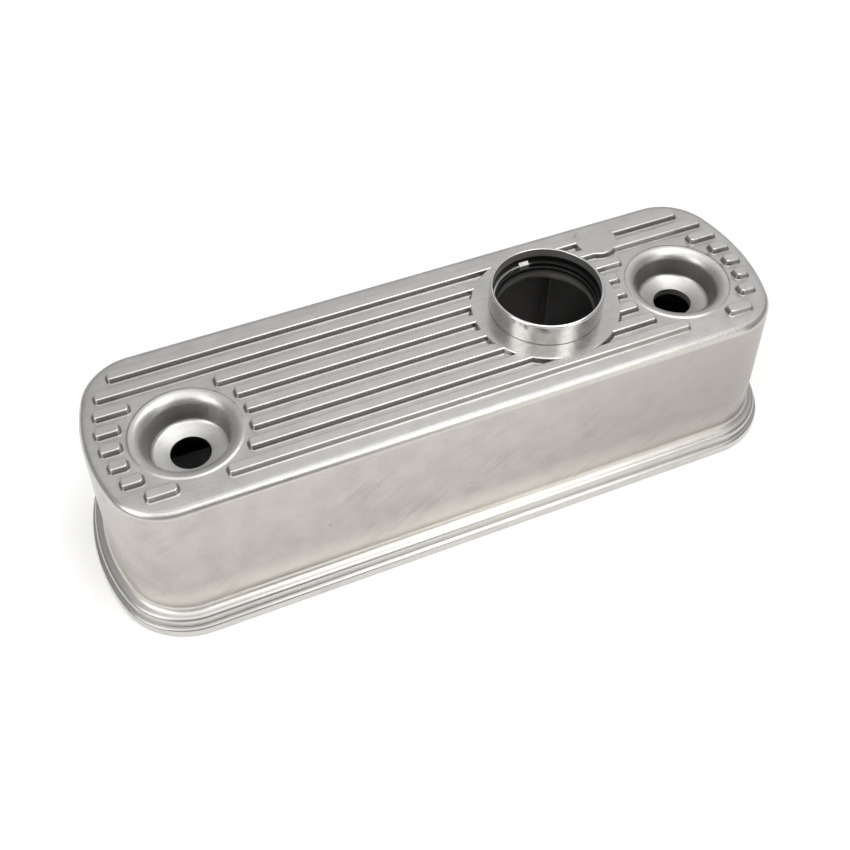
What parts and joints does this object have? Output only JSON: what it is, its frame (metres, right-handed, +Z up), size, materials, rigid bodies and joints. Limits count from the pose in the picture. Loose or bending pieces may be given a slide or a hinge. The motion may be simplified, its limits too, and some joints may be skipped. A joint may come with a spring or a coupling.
{
  "type": "engine rocker cover",
  "caption": "Finned cast aluminium rocker cover with dished stud wells, a stepped gasket flange and a turned bayonet oil filler neck.",
  "frame": {"origin": "middle of the cover's flat bottom face, which the gasket meets", "axes": "+Z up out of the engine, +X along the cover towards the end with the oil filler neck, +Y across it, away from the side that the stud wells are offset to"},
  "size_m": [0.307, 0.102, 0.0832],
  "materials": {
    "cast_aluminium": "satin, blasted casting with polished rib tops and edges",
    "turned_aluminium": "fine turned, bright"
  },
  "bodies": {
    "root": {"cover_casting": "cast_aluminium", "filler_neck": "turned_aluminium", "bayonet_stops": "turned_aluminium"}
  },
  "joints": []
}
